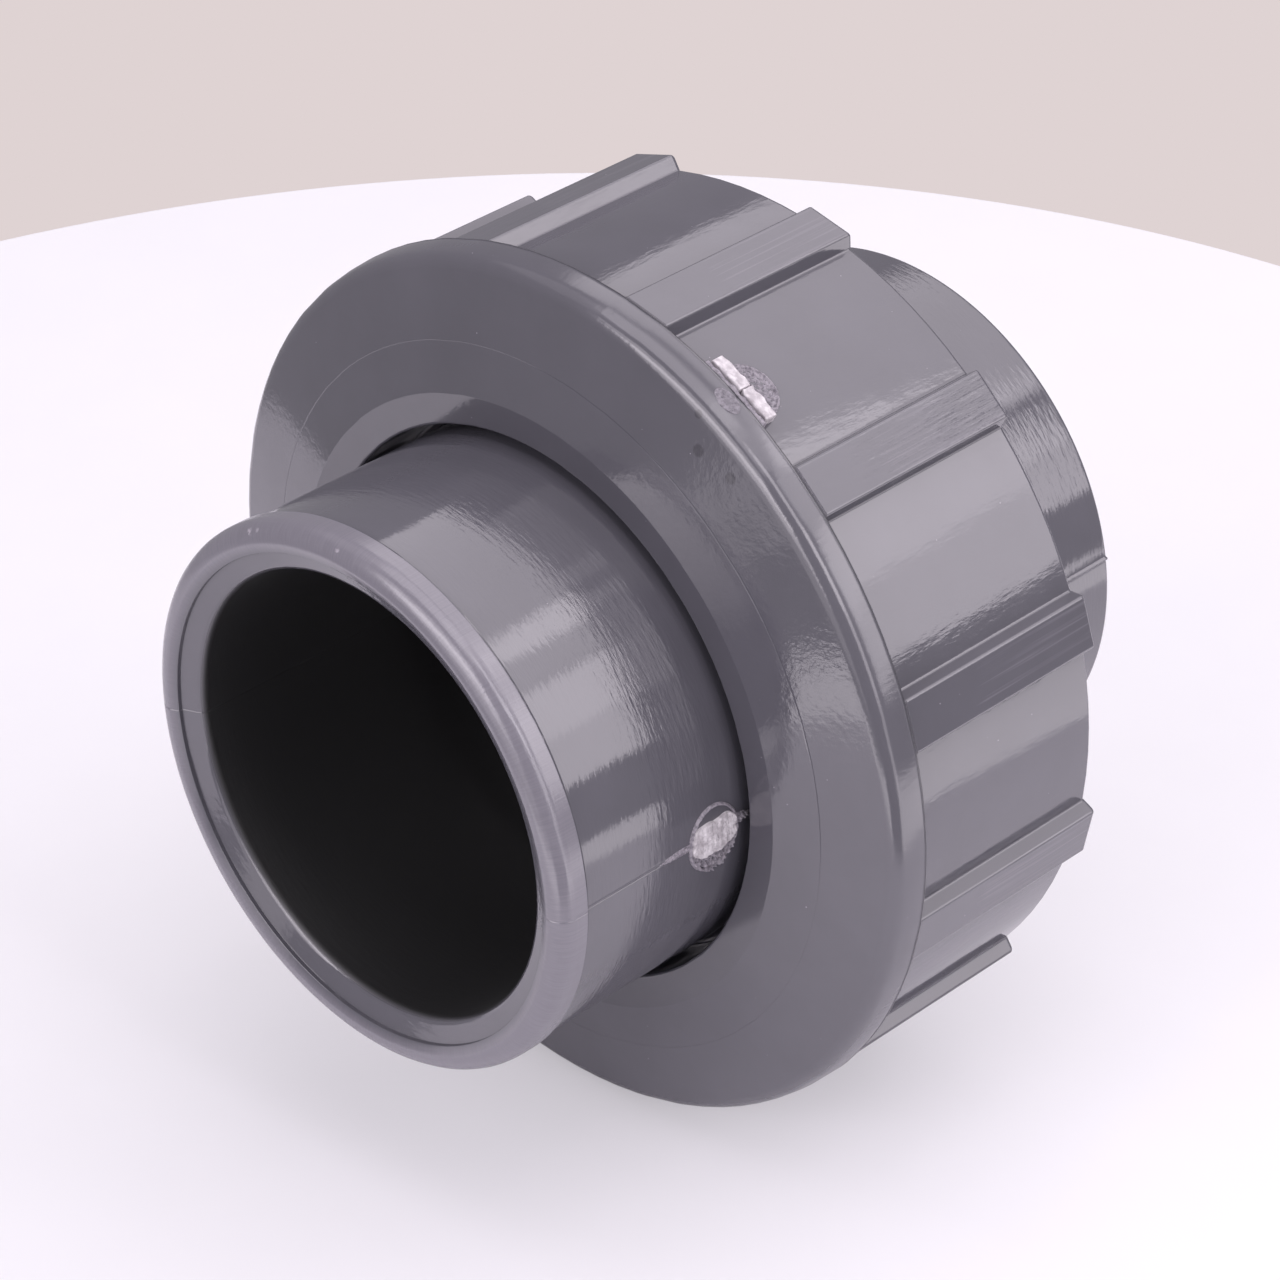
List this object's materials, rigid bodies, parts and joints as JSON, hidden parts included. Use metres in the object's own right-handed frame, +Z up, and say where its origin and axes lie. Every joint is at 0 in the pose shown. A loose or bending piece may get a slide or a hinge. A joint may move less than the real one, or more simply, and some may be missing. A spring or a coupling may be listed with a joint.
{
  "type": "pipe union",
  "caption": "Socket pipe union for solvent-welded plastic pipe: ribbed union nut over a shouldered tail piece, screwed onto a threaded socket body with a face seal.",
  "frame": {"origin": "on the pipe axis, at the plane where the tail piece meets the threaded body, midway between the two socket mouths", "axes": "+Y along the pipe axis, out of the threaded body's socket; the tail piece and the nut's face look towards -Y; +Z up, with the union lying on its side as in the picture"},
  "size_m": [0.0956, 0.0808, 0.0956],
  "materials": {
    "tail_pvc": "semi-gloss",
    "nut_pvc": "semi-gloss",
    "body_pvc": "semi-gloss",
    "seal_rubber": "matte"
  },
  "bodies": {
    "body_end": {"threaded_body": "body_pvc", "o_ring": "seal_rubber"},
    "tail_end": {"tail_piece": "tail_pvc"},
    "nut": {"union_nut": "nut_pvc"}
  },
  "joints": [
    {"name": "tail_draw", "type": "slide", "parent": "body_end", "child": "tail_end", "axis": [0, -1, 0], "range_m": [0, 0.015]},
    {"name": "nut_turn", "type": "hinge", "parent": "tail_end", "child": "nut", "pos_m": [0, 0, 0], "axis": [0, -1, 0], "range_deg": [0, 1080]}
  ],
  "couplings": [
    {"joint": "tail_draw", "follows": "nut_turn", "m_per_rad": 0.00079577}
  ]
}
